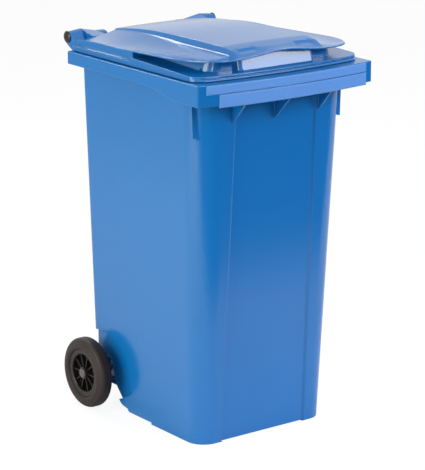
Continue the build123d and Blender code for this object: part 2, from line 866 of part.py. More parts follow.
def make_wheel_rim(side):
    """The wheel's moulded centre: ring, web, spokes, hub and the lock's radial boss."""
    ring_in = wheel_inner + rim_lip
    ring_out = wheel_outer - tyre_bead - rim_lip
    web = wheel_outer - web_inset
    hub_outer = wheel_outer - hub_inset
    boss_radius = lock_bore_radius + lock_boss_wall
    lift = Plane(origin=(side * lock_x, wheel_y, wheel_z))
    with BuildPart() as wheel:
        with BuildSketch(wheel_plane(side)):
            with BuildLine():
                Polyline((hub_inner, axle_radius), (hub_outer, axle_radius),
                         (hub_outer, hub_radius - 3), (web, hub_radius), (web, rim_ring_inner),
                         (ring_out - 2, rim_ring_inner), (ring_out, rim_ring_inner + 2),
                         (ring_out, tyre_seat_radius), (ring_in, tyre_seat_radius),
                         (ring_in, rim_ring_inner), (web - web_thickness, rim_ring_inner),
                         (web - web_thickness, hub_radius), (hub_inner, hub_radius),
                         close=True)
            make_face()
        revolve(axis=axle_axis)
        spoke_plane = Plane(origin=(side * web, wheel_y, wheel_z), x_dir=(0, 1, 0),
                            z_dir=(side, 0, 0))
        with BuildSketch(spoke_plane):
            with PolarLocations(0, spoke_count):
                with Locations(((hub_radius + rim_ring_inner) / 2, 0)):
                    Rectangle(rim_ring_inner - hub_radius + 4, spoke_thickness)
        extrude(amount=spoke_depth)
        with BuildSketch(lift.offset(axle_radius + 1)):
            Circle(boss_radius)
        extrude(amount=lock_boss_height - axle_radius - 1)
        with BuildSketch(wheel_plane(side)):
            with BuildLine():
                Polyline((hub_inner - 1, 0), (hub_inner - 1, axle_radius + axle_clearance),
                         (axle_end + 1, axle_radius + axle_clearance), (axle_end + 1, 0),
                         close=True)
            make_face()
        revolve(axis=axle_axis, mode=Mode.SUBTRACT)
        with BuildSketch(lift):
            Circle(lock_pin_radius + lock_pin_clearance)
        extrude(amount=lock_boss_height, mode=Mode.SUBTRACT)
        with BuildSketch(lift.offset(hub_radius)):
            Circle(lock_bore_radius)
        extrude(amount=lock_boss_height, mode=Mode.SUBTRACT)
    return wheel


def make_hub_cap(side):
    """A small round cap in the open end of the hub, over the end of the axle."""
    seat = wheel_outer - hub_inset
    with BuildPart() as cap:
        with BuildSketch(wheel_plane(side)):
            rise = dome_points(seat + cap_thickness, cap_radius - 1, cap_dome)
            with BuildLine():
                Polyline((axle_end + 1, 0), (axle_end + 1, axle_radius), (seat, axle_radius),
                         (seat, cap_radius), (seat + cap_thickness - 1, cap_radius), rise[0])
                ThreePointArc(*rise)
                Line(rise[-1], (axle_end + 1, 0))
            make_face()
        revolve(axis=axle_axis)
    return cap


def lock_plane(side, lift):
    """A level plane on the lock's radial axis, a lift above the middle of the axle."""
    return Plane(origin=(side * lock_x, wheel_y, wheel_z + lift))


def make_lock_pin(side):
    """The sprung pin that drops into the axle's groove."""
    with BuildPart() as pin:
        with BuildSketch(lock_plane(side, lock_rest)):
            Circle(lock_pin_radius)
        extrude(amount=hub_radius - lock_rest)
        with BuildSketch(lock_plane(side, hub_radius)):
            Circle(lock_collar_radius)
        extrude(amount=lock_collar_height)
    return pin


def make_lock_spring(side):
    """The coil spring between the lock pin's collar and the plug."""
    radius = lock_bore_radius - spring_play - spring_wire / 2
    low = spring_base + spring_seat_gap + spring_wire / 2
    height = spring_top - spring_seat_gap - spring_wire / 2 - low
    with BuildPart() as spring:
        with BuildLine() as coil:
            Helix(pitch=height / spring_turns, height=height, radius=radius,
                  center=(side * lock_x, wheel_y, wheel_z + low))
        with BuildSketch(Plane(origin=coil.line @ 0, z_dir=coil.line % 0)):
            Circle(spring_wire / 2)
        sweep(is_frenet=True)
    return spring


def make_lock_plug(side):
    """The plug that closes the lock's bore in the boss."""
    with BuildPart() as plug:
        with BuildSketch(lock_plane(side, spring_top)):
            Circle(lock_bore_radius)
        extrude(amount=lock_plug_height)
    return plug


def write(piece, name):
    """Label a finished piece and write it to its own STEP file."""
    piece.part.label = name
    export_step(piece.part, os.path.join("parts", name + ".step"))


os.makedirs("parts", exist_ok=True)
write(make_body(), "body")
write(make_lid(), "lid")
write(make_axle(), "axle")
for side_name, side_sign in (("left", -1), ("right", 1)):
    write(make_hinge_pin(side_sign), "hinge_pin_" + side_name)
    write(make_spacer(side_sign), "axle_spacer_" + side_name)
    write(make_tyre(side_sign), "tyre_" + side_name)
    write(make_wheel_rim(side_sign), "wheel_rim_" + side_name)
    write(make_hub_cap(side_sign), "hub_cap_" + side_name)
    write(make_lock_pin(side_sign), "lock_pin_" + side_name)
    write(make_lock_spring(side_sign), "lock_spring_" + side_name)
    write(make_lock_plug(side_sign), "lock_plug_" + side_name)
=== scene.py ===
import json
import math

import bpy
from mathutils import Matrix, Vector


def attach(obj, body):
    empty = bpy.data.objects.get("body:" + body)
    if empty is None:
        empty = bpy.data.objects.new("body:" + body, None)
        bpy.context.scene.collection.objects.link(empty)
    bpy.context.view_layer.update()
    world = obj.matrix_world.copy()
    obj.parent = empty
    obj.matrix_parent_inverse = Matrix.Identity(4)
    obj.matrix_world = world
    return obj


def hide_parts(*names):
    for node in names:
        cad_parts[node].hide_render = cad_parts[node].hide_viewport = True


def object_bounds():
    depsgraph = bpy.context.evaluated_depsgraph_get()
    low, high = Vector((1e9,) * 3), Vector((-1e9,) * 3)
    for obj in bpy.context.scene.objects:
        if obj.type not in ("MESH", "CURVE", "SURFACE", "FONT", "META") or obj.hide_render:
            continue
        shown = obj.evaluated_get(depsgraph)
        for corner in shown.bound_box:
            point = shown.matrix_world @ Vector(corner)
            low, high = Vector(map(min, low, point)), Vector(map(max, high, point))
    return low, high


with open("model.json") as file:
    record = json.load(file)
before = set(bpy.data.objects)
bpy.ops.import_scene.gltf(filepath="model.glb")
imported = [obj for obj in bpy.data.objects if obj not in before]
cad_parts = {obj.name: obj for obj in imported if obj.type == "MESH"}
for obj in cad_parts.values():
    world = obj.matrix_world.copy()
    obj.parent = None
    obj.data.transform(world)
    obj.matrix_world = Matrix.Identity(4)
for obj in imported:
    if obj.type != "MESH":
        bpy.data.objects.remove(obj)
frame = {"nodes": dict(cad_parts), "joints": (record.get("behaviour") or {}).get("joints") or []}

bl_info = {
    "name": "Wheelie bin",
    "version": (1, 0, 0),
    "blender": (4, 5, 0),
    "location": "3D View > Sidebar > Bin",
    "description": "Builds the finished look of a two-wheeled wheelie bin around its frame",
    "category": "Object",
}

# Places that come from the frame, in metres

MM = 0.001
CAD_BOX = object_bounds()
FRONT = CAD_BOX[0][1]
JOINTS = {joint["name"]: joint for joint in frame["joints"]}
HINGE = Vector(JOINTS["lid_hinge"]["pos_m"])
AXLE = Vector(JOINTS["wheel_left_spin"]["pos_m"])
SIDES = {"left": -1, "right": 1}


# Shader maths

BEVEL_SAMPLES = 6
EDGE_CONTRAST = 6.0


class Value:
    """A number or colour socket that can be used in ordinary arithmetic."""

    def __init__(self, finish, socket):
        self.finish = finish
        self.socket = socket

    def _math(self, operation, *others):
        return self.finish.node("ShaderNodeMath", {"operation": operation}, *others)

    def __add__(self, other):
        return self._math("ADD", self, other)

    def __radd__(self, other):
        return self._math("ADD", other, self)

    def __sub__(self, other):
        return self._math("SUBTRACT", self, other)

    def __rsub__(self, other):
        return self._math("SUBTRACT", other, self)

    def __mul__(self, other):
        return self._math("MULTIPLY", self, other)

    def __rmul__(self, other):
        return self._math("MULTIPLY", other, self)

    def __truediv__(self, other):
        return self._math("DIVIDE", self, other)

    def clamp(self):
        """This value kept between 0 and 1."""
        return self.finish.node("ShaderNodeClamp", {}, self)

    def power(self, exponent):
        """This value raised to a power."""
        return self._math("POWER", self, exponent)

    def step(self, edge, soft):
        """0 below an edge and 1 above it, over a soft width."""
        return ((self - (edge - soft / 2)) / soft).clamp()

    def band(self, low, high, soft):
        """1 between low and high, 0 outside, with soft edges."""
        return self.step(low, soft) * (1 - self.step(high, soft))


class Finish:
    """A material under construction, on one Principled shader."""

    def __init__(self, name, **constants):
        self.material = bpy.data.materials.new(name)
        self.material.use_nodes = True
        self.tree = self.material.node_tree
        self.shader = self.tree.nodes["Principled BSDF"]
        for socket, value in constants.items():
            self.shader.inputs[socket].default_value = value

    def node(self, kind, settings, *values, output=0, **named):
        """Any node, from its type, its settings, and the values or links of its sockets."""
        made = self.tree.nodes.new(kind)
        for setting, value in settings.items():
            setattr(made, setting, value)
        for socket, value in zip(made.inputs, values):
            self._fill(socket, value)
        for name, value in named.items():
            self._fill(made.inputs[name], value)
        return Value(self, made.outputs[output])

    def _fill(self, socket, value):
        """Link a value to a socket, or set a plain number or colour on it."""
        if isinstance(value, Value):
            self.tree.links.new(value.socket, socket)
        else:
            socket.default_value = value

    def feed(self, socket, value):
        """Link a value to a socket of the main shader."""
        self.tree.links.new(value.socket, self.shader.inputs[socket])

    def place(self):
        """Object coordinates, which are the frame's own places in metres."""
        return self.node("ShaderNodeTexCoord", {}, output="Object")

    def axes(self):
        """The three coordinates of a place, as separate numbers."""
        place = self.place()
        return [self.node("ShaderNodeSeparateXYZ", {}, place, output=axis) for axis in range(3)]

    def stretched(self, scale):
        """Object coordinates stretched along each axis."""
        return self.node("ShaderNodeMapping", {}, self.place(), Scale=scale)

    def noise(self, scale, detail, roughness=0.55, vector=None):
        """Soft noise of a scale per metre."""
        return self.node("ShaderNodeTexNoise", {}, Vector=vector or self.place(),
                         Scale=scale, Detail=detail, Roughness=roughness)

    def blend(self, share, first, second):
        """A colour part way from first to second."""
        made = self.tree.nodes.new("ShaderNodeMix")
        made.data_type = "RGBA"
        # A colour mix keeps its share, first and second colour in these sockets
        for index, value in ((0, share), (6, first), (7, second)):
            self._fill(made.inputs[index], value)
        return Value(self, made.outputs[2])

    def bump(self, height, distance, strength, normal):
        """A normal raised by a height, on top of another normal."""
        return self.node("ShaderNodeBump", {}, Height=height, Distance=distance,
                         Strength=strength, Normal=normal)

    def soft_edges(self, radius):
        """A normal that rounds sharp edges by a radius."""
        return self.node("ShaderNodeBevel", {"samples": BEVEL_SAMPLES}, Radius=radius)

    def edges(self, radius):
        """1 along sharp edges and 0 on open surfaces."""
        flat = self.node("ShaderNodeNewGeometry", {}, output="Normal")
        along = self.node("ShaderNodeVectorMath", {"operation": "DOT_PRODUCT"},
                          self.soft_edges(radius), flat, output="Value")
        return ((1 - along) * EDGE_CONTRAST).clamp()


def shade(values, factor):
    """A colour made lighter or darker by a factor, with full alpha."""
    return (*(min(1.0, channel * factor) for channel in values[:3]), 1.0)


# The blue polyethylene: how strongly each mark and the painted edge highlight show, and where
# the comb's bands lie

# A lighter blue for the scuffs and for the painted highlight along every edge
SCUFF_AND_EDGE_HIGHLIGHT_BLUE = (0.13, 0.31, 0.6, 1.0)
EDGE_HIGHLIGHT_WIDTH = 2.4 * MM
EDGE_HIGHLIGHT_LEAST = 0.45
EDGE_HIGHLIGHT_SHARE = 0.5
SCUFF_SHARE = 0.1
SCUFF_ROUGHNESS = 0.08
MOTTLE_ROUGHNESS = 0.05
SKIN_DEPTH = 0.0002
SKIN_STRENGTH = 0.22
FINE_SKIN_SHARE = 0.3
MOULDED_EDGE = 2.2 * MM
COMB_BLUE = (0.07, 0.2, 0.5, 1.0)
COMB_HALF = 0.29
COMB_BOW = 0.022
COMB_PROUD = 0.003
COMB_LOW = 0.952
COMB_SHARE = 0.9
COMB_ROUGHNESS = 0.25


def polyethylene(name, tint, gloss, comb=False):
    """Moulded polyethylene: soft mottling, fine skin, light scuffs, and rounded edges lightened
    by a painted highlight with rubbed wear.
    """
    finish = Finish(name)
    mottle = finish.noise(scale=3.0, detail=3.0)
    upright = finish.stretched((90.0, 90.0, 6.0))
    streaks = finish.noise(scale=1.0, detail=5.0, roughness=0.7, vector=upright)
    patches = finish.noise(scale=9.0, detail=2.0)
    scuffs = streaks.step(edge=0.72, soft=0.1) * patches.step(edge=0.55, soft=0.2)
    wear = finish.noise(scale=45.0, detail=4.0).step(edge=0.45, soft=0.3)
    # Painted highlight along every sharp edge, stronger where the noise adds rubbed wear
    edge_highlight_and_wear = finish.edges(EDGE_HIGHLIGHT_WIDTH) * (EDGE_HIGHLIGHT_LEAST + (1 - EDGE_HIGHLIGHT_LEAST) * wear)
    base = finish.blend(mottle, shade(tint, 0.94), shade(tint, 1.06))
    # The scuffs are real marks; the lightening along the edges is painted highlight
    scuffs_and_edge_highlight = (scuffs * SCUFF_SHARE + edge_highlight_and_wear * EDGE_HIGHLIGHT_SHARE).clamp()
    base = finish.blend(scuffs_and_edge_highlight, base, SCUFF_AND_EDGE_HIGHLIGHT_BLUE)
    rough = gloss + mottle * MOTTLE_ROUGHNESS + scuffs * SCUFF_ROUGHNESS
    fine = finish.noise(scale=700.0, detail=2.0)
    skin = fine * FINE_SKIN_SHARE + finish.noise(scale=35.0, detail=2.0)
    if comb:
        matte = comb_mask(finish)
        level = finish.stretched((60.0, 60.0, 420.0))
        grain = finish.noise(scale=1.0, detail=3.0, roughness=0.6, vector=level)
        worn = finish.blend(grain, COMB_BLUE, shade(COMB_BLUE, 1.35))
        base = finish.blend(matte * COMB_SHARE, base, worn)
        rough = rough + matte * COMB_ROUGHNESS
    finish.feed("Base Color", base)
    finish.feed("Roughness", rough)
    finish.feed("Normal", finish.bump(skin, SKIN_DEPTH, SKIN_STRENGTH,
                                      finish.soft_edges(MOULDED_EDGE)))
    return finish.material


def comb_mask(finish):
    """1 on the proud, roughened bands across the comb's face, 0 elsewhere."""
    x, y, z = finish.axes()
    bow = (x / COMB_HALF).power(2.0) * COMB_BOW
    behind = (y - bow).step(edge=FRONT + COMB_PROUD * 0.9, soft=0.5 * MM)
    return (1 - behind) * z.step(edge=COMB_LOW, soft=1.0 * MM)


# The other finishes

BEAD_INNER = 0.069
BEAD_OUTER = 0.078
BEAD_SOFTNESS = 2.5 * MM
BEAD_HEIGHT = 0.0016
RING_TURNS = 2400.0
RING_SHARE = 0.05
GRIT_SHARE = 0.05


def rubber(name, tint):
    """Solid tyre rubber with a dusty bloom, a raised bead and fine rings left by the mould."""
    finish = Finish(name, **{"Specular IOR Level": 0.3})
    bloom = finish.noise(scale=25.0, detail=5.0, roughness=0.6)
    finish.feed("Base Color", finish.blend(bloom, shade(tint, 0.8), shade(tint, 1.25)))
    finish.feed("Roughness", 0.42 + bloom * 0.2)
    _, y, z = finish.axes()
    radius = ((y - AXLE.y).power(2.0) + (z - AXLE.z).power(2.0)).power(0.5)
    bead = radius.band(BEAD_INNER, BEAD_OUTER, BEAD_SOFTNESS)
    rings = finish.node("ShaderNodeMath", {"operation": "SINE"}, radius * RING_TURNS)
    grit = finish.noise(scale=1200.0, detail=2.0)
    raised = bead + rings * RING_SHARE + grit * GRIT_SHARE
    finish.feed("Normal", finish.bump(raised, BEAD_HEIGHT, 0.8, finish.soft_edges(2.0 * MM)))
    return finish.material


def black_plastic(name, tint, gloss):
    """Black or grey moulded plastic."""
    finish = Finish(name, **{"Specular IOR Level": 0.35})
    cloud = finish.noise(scale=30.0, detail=3.0)
    grain = finish.noise(scale=1500.0, detail=2.0)
    finish.feed("Base Color", finish.blend(cloud, shade(tint, 0.8), shade(tint, 1.2)))
    finish.feed("Roughness", gloss + cloud * 0.1)
    finish.feed("Normal", finish.bump(grain, 0.0001, 0.4, finish.soft_edges(0.8 * MM)))
    return finish.material


def plated_steel(name, tint):
    """Zinc-plated steel with faint drawing lines."""
    finish = Finish(name, Metallic=1.0)
    drawn = finish.stretched((8.0, 900.0, 900.0))
    lines = finish.noise(scale=1.0, detail=3.0, roughness=0.6, vector=drawn)
    finish.feed("Base Color", finish.blend(lines, shade(tint, 0.85), shade(tint, 1.1)))
    finish.feed("Roughness", 0.28 + lines * 0.15)
    return finish.material


# Modelling by hand

WELD = 0.000005
FLAT_ANGLE = math.radians(0.4)


def deselect():
    """Leave edit mode and select nothing."""
    if bpy.context.object and bpy.context.object.mode != "OBJECT":
        bpy.ops.object.mode_set(mode="OBJECT")
    bpy.ops.object.select_all(action="DESELECT")


def pick(piece):
    """Select one piece alone and make it active."""
    deselect()
    piece.select_set(True)
    bpy.context.view_layer.objects.active = piece


def merged_copy(node, name):
    """A copy of a frame node with its loose triangles welded and its flat faces joined."""
    source = frame["nodes"][node]
    piece = bpy.data.objects.new(name, source.data.copy())
    piece.data.name = name
    bpy.context.scene.collection.objects.link(piece)
    pick(piece)
    bpy.ops.object.mode_set(mode="EDIT")
    bpy.ops.mesh.select_all(action="SELECT")
    bpy.ops.mesh.remove_doubles(threshold=WELD)
    bpy.ops.mesh.dissolve_limited(angle_limit=FLAT_ANGLE, delimit={"NORMAL"})
    bpy.ops.object.mode_set(mode="OBJECT")
    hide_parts(node)
    return piece


def smooth(piece, angle=24):
    """Shade a piece smooth below an angle in degrees, with its large flat faces kept flat."""
    pick(piece)
    bpy.ops.object.shade_smooth_by_angle(angle=math.radians(angle))
    evened = piece.modifiers.new("Even shading", "WEIGHTED_NORMAL")
    evened.keep_sharp = True
    evened.weight = 100
    bpy.ops.object.modifier_apply(modifier=evened.name)


def finished_by(piece, kind, **settings):
    """Apply one modifier to a piece."""
    pick(piece)
    modifier = piece.modifiers.new(kind.title(), kind)
    for setting, value in settings.items():
        setattr(modifier, setting, value)
    bpy.ops.object.modifier_apply(modifier=modifier.name)


def cut(piece, place, normal, keep=False):
    """Cut a piece by a plane: drop the side the normal points to and close, or keep both."""
    pick(piece)
    bpy.ops.object.mode_set(mode="EDIT")
    bpy.ops.mesh.select_all(action="SELECT")
    bpy.ops.mesh.bisect(plane_co=place, plane_no=normal, use_fill=not keep,
                        clear_outer=not keep)
    bpy.ops.object.mode_set(mode="OBJECT")


def paint(piece, material):
    """Give a piece one material."""
    piece.data.materials.clear()
    piece.data.materials.append(material)


# Sizes and colours that a user would change

class BinColours(bpy.types.PropertyGroup):
    """The colours of the bin."""
    tub: bpy.props.FloatVectorProperty(
        name="Tub and lid", description="Blue of the moulded tub and lid",
        subtype="COLOR", size=3, min=0, max=1, default=(0.003, 0.122, 0.38))
    black: bpy.props.FloatVectorProperty(
        name="Black plastic", description="Wheel centres, spacers and hinge pins",
        subtype="COLOR", size=3, min=0, max=1, default=(0.008, 0.006, 0.006))
    tyre: bpy.props.FloatVectorProperty(
        name="Tyre", description="Rubber of the tyres",
        subtype="COLOR", size=3, min=0, max=1, default=(0.017, 0.0095, 0.009))
    cap: bpy.props.FloatVectorProperty(
        name="Hub cap", description="Grey of the hub caps",
        subtype="COLOR", size=3, min=0, max=1, default=(0.085, 0.07, 0.08))
    steel: bpy.props.FloatVectorProperty(
        name="Steel", description="Axle, lock pins and springs",
        subtype="COLOR", size=3, min=0, max=1, default=(0.55, 0.55, 0.57))


class LidSizes(bpy.types.PropertyGroup):
    """The shape of the lid's top sheet."""
    spine_top: bpy.props.FloatProperty(
        name="Spine top", description="Height of the level part of the raised spine",
        unit="LENGTH", default=1.088)
    spine_fall: bpy.props.FloatProperty(
        name="Spine fall", description="How far the spine falls towards the hinge",
        unit="LENGTH", default=0.025)
    spine_run: bpy.props.FloatProperty(
        name="Spine side", description="Width of the sloping side of the spine",
        unit="LENGTH", default=0.0065)
    crown: bpy.props.FloatProperty(
        name="Crown", description="How much the spine's top is crowned",
        unit="LENGTH", default=0.002)
    grip_half: bpy.props.FloatProperty(
        name="Grip half-width", description="From the middle to the edge of the side grips",
        unit="LENGTH", default=0.2665)
    lip_corner: bpy.props.FloatProperty(
        name="Lip corner", description="Radius of the front lip's corners",
        unit="LENGTH", default=0.016)
    wall: bpy.props.FloatProperty(
        name="Wall", description="Thickness of the top sheet",
        unit="LENGTH", default=0.0035)


class StageSizes(bpy.types.PropertyGroup):
    """The floor, the lights and the camera."""
    azimuth: bpy.props.FloatProperty(
        name="Azimuth", description="Camera's direction round the bin",
        subtype="ANGLE", default=math.radians(-36.7))
    elevation: bpy.props.FloatProperty(
        name="Elevation", description="Camera's height angle",
        subtype="ANGLE", default=math.radians(15.3))
    distance: bpy.props.FloatProperty(
        name="Distance", description="Camera to the point it looks at",
        unit="LENGTH", default=6.2524)
    target: bpy.props.FloatVectorProperty(
        name="Target", description="The point that the camera looks at",
        subtype="TRANSLATION", size=3, default=(-0.0784, -0.1074, 0.544))
    lens: bpy.props.FloatProperty(
        name="Lens", description="Focal length of the camera in millimetres",
        default=176.57)
    floor: bpy.props.FloatVectorProperty(
        name="Floor", description="Colour of the floor",
        subtype="COLOR", size=3, min=0, max=1, default=(0.85, 0.85, 0.86))
    glow: bpy.props.FloatProperty(
        name="Glow", description="How much the floor shows as plain white",
        subtype="FACTOR", min=0, max=1, default=0.85)
    paper_edge: bpy.props.FloatProperty(
        name="Paper edge", description="Where the pale floor ends in front of the bin",
        unit="LENGTH", default=-1.22)


# The lid's top sheet, in metres, from the hinge at the back to the lip in front

LID_BACK = HINGE.y - 0.062
SHEET_BACK = HINGE.y - 0.0700
LIP = FRONT + 0.042
RIDGE = LIP + 0.045
SPINE_LEVEL = LIP + 0.245
RIM_TOP = 1.016
SHEET_ROWS = 58
LIP_ROWS = 16
SPINE_COLUMNS = 26
STEP_COLUMNS = 8
WING_COLUMNS = 14

# The raised spine, the step down its sides and the brow along its front
SPINE_HALF_BACK = 0.140
SPINE_HALF_FRONT = 0.147
SPINE_FALL_CURVE = 2.3
STEP_FRONT = 0.017
STEP_BACK = 0.004
BROW_FALL = 0.005
BROW_RUN = 0.032

# The side grips, which turn in towards the lip
WING_LEAST = 0.02
WING_LEAST_IN_FRONT = 0.03
WING_CURVE = 1.5
WING_SAG = 0.0035
GRIP_TURN = LIP + 0.172
GRIP_TURN_RUN = 0.150
GRIP_TURN_IN = 0.0405
GRIP_TURN_CURVE = 2.71
GRIP_LEVEL = RIM_TOP + 0.038
GRIP_RISE = 0.014
GRIP_RISE_START = 0.35
GRIP_FALL = 0.009
GRIP_FALL_END = 0.25

# The waved lip and its two shallow pockets
LIP_LEVEL = 1.0645
LIP_ARCH = 0.0135
LIP_ARCH_HALF = 0.095
LIP_TIP = 0.003
LIP_TIP_HALF = 0.2
LIP_CURVE = 0.8
POCKET_DEPTH = 0.0045
POCKET_INNER = 0.062
POCKET_INNER_RUN = 0.006
POCKET_OUTER = 0.128
POCKET_OUTER_RUN = 0.01
POCKET_TOP_RUN = 0.1
POCKET_FOOT = 0.62
POCKET_FOOT_RUN = 0.45


def between(low, high, share):
    """The value a share of the way from low to high."""
    return low + (high - low) * share


def eased(share):
    """A share from 0 to 1 that starts and ends gently."""
    share = min(1.0, max(0.0, share))
    return share * share * (3 - 2 * share)


def forward(y):
    """How far forward along the sheet a place lies, from 0 at its back to 1 at the lip."""
    return (LID_BACK - y) / (LID_BACK - LIP)


def spine_back(y):
    """How far back along the falling part of the spine a place lies, from 0 to 1."""
    return max(0.0, y - SPINE_LEVEL) / (LID_BACK - SPINE_LEVEL)


def spine_edges(y, sizes):
    """Half-widths of the spine's top and of its foot."""
    foot = between(SPINE_HALF_BACK, SPINE_HALF_FRONT, forward(y))
    return foot - sizes.spine_run, foot


def grip_half(y, sizes):
    """Half-width of the top sheet at a place along it."""
    turn = max(0.0, (GRIP_TURN - y) / GRIP_TURN_RUN)
    half = sizes.grip_half - GRIP_TURN_IN * turn ** GRIP_TURN_CURVE
    reach = sizes.lip_corner - (y - LIP)
    if reach > 0:
        half -= sizes.lip_corner - math.sqrt(max(0.0, sizes.lip_corner ** 2 - reach ** 2))
    return half


def grip_height(y):
    """Height of the top sheet's side edge."""
    share = forward(y)
    rise = max(0.0, share - GRIP_RISE_START) / (1 - GRIP_RISE_START)
    fall = max(0.0, 1 - share / GRIP_FALL_END) ** 2
    return GRIP_LEVEL + GRIP_RISE * rise - GRIP_FALL * fall


def lip_height(side):
    """Height of the lip's edge, arched over the hand hold and lifted at its tips."""
    arch = LIP_ARCH * math.exp(-(side / LIP_ARCH_HALF) ** 2)
    return LIP_LEVEL + arch + LIP_TIP * (side / LIP_TIP_HALF) ** 6


def pocket_depth(side, share):
    """Depth of the two shallow pockets in the lip, a share of the way from ridge to edge."""
    across = (eased((side - POCKET_INNER) / POCKET_INNER_RUN)
              * eased((POCKET_OUTER - side) / POCKET_OUTER_RUN))
    return (POCKET_DEPTH * across * eased(share / POCKET_TOP_RUN)
            * eased((POCKET_FOOT - share) / POCKET_FOOT_RUN))


def sheet_height(x, y, sizes):
    """Height of the lid's top sheet at a place."""
    side = abs(x)
    behind = max(y, RIDGE)
    back = spine_back(behind)
    top_x, foot_x = spine_edges(behind, sizes)
    level = sizes.spine_top - sizes.spine_fall * back ** SPINE_FALL_CURVE
    foot = level - between(STEP_FRONT, STEP_BACK, back)
    top = level - BROW_FALL * max(0.0, 1 - (behind - RIDGE) / BROW_RUN)
    if side < top_x:
        height = top + sizes.crown * (1 - (side / top_x) ** 2)
    elif side < foot_x:
        height = between(top, foot, eased((side - top_x) / (foot_x - top_x)))
    else:
        half = max(foot_x + WING_LEAST, grip_half(behind, sizes))
        out = min(1.0, (side - foot_x) / (half - foot_x))
        edge = grip_height(behind)
        sag = WING_SAG * math.sin(math.pi * out)
        height = edge + (foot - edge) * (1 - out) ** WING_CURVE - sag
    if y < RIDGE:
        share = (RIDGE - y) / (RIDGE - LIP)
        height = between(height, lip_height(side), eased(share) ** LIP_CURVE)
        height -= pocket_depth(side, share)
    return height


def sheet_columns(y, sizes):
    """Places across the top sheet at one row, from the left grip to the right."""
    top_x, foot_x = spine_edges(max(y, RIDGE), sizes)
    half = grip_half(y, sizes)
    foot_x = min(foot_x, half - WING_LEAST_IN_FRONT)
    right = [between(0, top_x, step / SPINE_COLUMNS) for step in range(SPINE_COLUMNS)]
    right += [between(top_x, foot_x, step / STEP_COLUMNS) for step in range(STEP_COLUMNS)]
    right += [between(foot_x, half, step / WING_COLUMNS) for step in range(WING_COLUMNS + 1)]
    return [-x for x in reversed(right[1:])] + right


# The lid's walls below the sheet, its hinge arms, and the tub's lugs

SPLIT = LID_BACK + 0.0002
# The walls are cut off level here, then drawn up to meet the sheet
WALL_CUT = 1.0405
WALL_RISE = 0.012
WALL_CUTS_ACROSS = (0.05, 0.1, 0.1305, 0.134, 0.1375, 0.141, 0.1445, 0.148,
                    0.16, 0.18, 0.2, 0.235)
WALL_CUTS_ALONG = (0.2, 0.13, 0.06, -0.05, -0.1, -0.15, -0.2, -0.24)
# The hood behind the sheet, which slopes up to the hinge arms
HOOD_BACK = SHEET_BACK + 0.2 * MM
HOOD_BACK_LEVEL = RIM_TOP + 0.029
HOOD_BACK_SLOPE = 0.226
# The ledge round the lid, and the riser, nose and skirt that lean back from it
LEDGE_TOP = 1.0295
RISER_FRONT = FRONT + 0.087
RISER_SIDE = 0.2125
RISER_TURN = 0.172
NOSE_BACK = RISER_FRONT - 5 * MM
NOSE_FOOT = 0.5 * MM
NOSE_LEAN = 0.24
SLOPED_FRONT = LID_BACK - 0.278 - 2 * MM
SLOPED_FOOT = 1.5 * MM
SIDE_LEAN = 0.28
SKIRT_TURN = FRONT + 0.082
SKIRT_TURN_RUN = 0.03
SKIRT_SLANT = 0.008
SKIRT_FRONT = RISER_FRONT - 26 * MM
SKIRT_SIDE = RISER_SIDE + 1 * MM
SKIRT_LOW = LEDGE_TOP - 2 * MM
SKIRT_HIGH = LEDGE_TOP + 3 * MM
# The hinge lugs and knuckles keep their shape round the pin's bore
PIN_BORE = 0.007
INNER_LUG_END = 0.149
OUTER_LUG_END = 0.240
INNER_LUG_FALL = 0.45
OUTER_LUG_FALL = 0.78
KNUCKLE_START = 0.1515
KNUCKLE_FALL = 0.42
# The tub's front foot
TOE_BACK = FRONT + 0.128
TOE_LOW = 0.1 * MM
TOE_TOP = 5.2 * MM


def shape_lugs(tub):
    """Let the tub's hinge lugs fall away from the lid's knuckles, as moulded ones do."""
    for vertex in tub.data.vertices:
        across = abs(vertex.co.x)
        rise = vertex.co.z - HINGE.z
        away = math.hypot(vertex.co.y - HINGE.y, rise)
        if rise <= 0 or away < PIN_BORE or vertex.co.y < LID_BACK:
            continue
        if across < INNER_LUG_END:
            vertex.co.z = HINGE.z + rise * INNER_LUG_FALL
        elif across > OUTER_LUG_END:
            vertex.co.z = HINGE.z + rise * OUTER_LUG_FALL


def square_toe(tub):
    """Square off the rounded lower edge of the tub's front foot."""
    for vertex in tub.data.vertices:
        if vertex.co.y < TOE_BACK and TOE_LOW < vertex.co.z < TOE_TOP:
            vertex.co.z = TOE_LOW


def shape_arms(arms):
    """Slope the tops of the lid's knuckles down towards the middle of the bin."""
    for vertex in arms.data.vertices:
        rise = vertex.co.z - HINGE.z
        away = math.hypot(vertex.co.y - HINGE.y, rise)
        if rise > 0 and away > PIN_BORE and abs(vertex.co.x) < KNUCKLE_START:
            vertex.co.z = HINGE.z + rise * KNUCKLE_FALL


def divide_walls(walls):
    """Divide the walls' long top edges, so that they can follow the sheet above them."""
    for x in WALL_CUTS_ACROSS:
        for side in SIDES.values():
            cut(walls, (x * side, 0, 0), (1, 0, 0), keep=True)
    for y in WALL_CUTS_ALONG:
        cut(walls, (0, y, 0), (0, 1, 0), keep=True)


def raise_walls(walls, sizes):
    """Draw the walls' flat top up to the middle of the sheet's thickness."""
    for face in walls.data.polygons:
        level = abs(face.center.z - WALL_CUT) < 0.01 * MM
        face.select = face.normal.z > 0.99 and level
    bpy.ops.object.mode_set(mode="EDIT")
    bpy.ops.mesh.select_mode(type="FACE")
    bpy.ops.mesh.extrude_region_move(TRANSFORM_OT_translate={"value": (0, 0, WALL_RISE)})
    bpy.ops.object.mode_set(mode="OBJECT")
    for vertex in walls.data.vertices:
        if vertex.select:
            x, y, _ = vertex.co
            if y > HOOD_BACK:
                vertex.co.z = HOOD_BACK_LEVEL + (y - SHEET_BACK) * HOOD_BACK_SLOPE
            else:
                vertex.co.z = sheet_height(x, y, sizes) - sizes.wall / 2


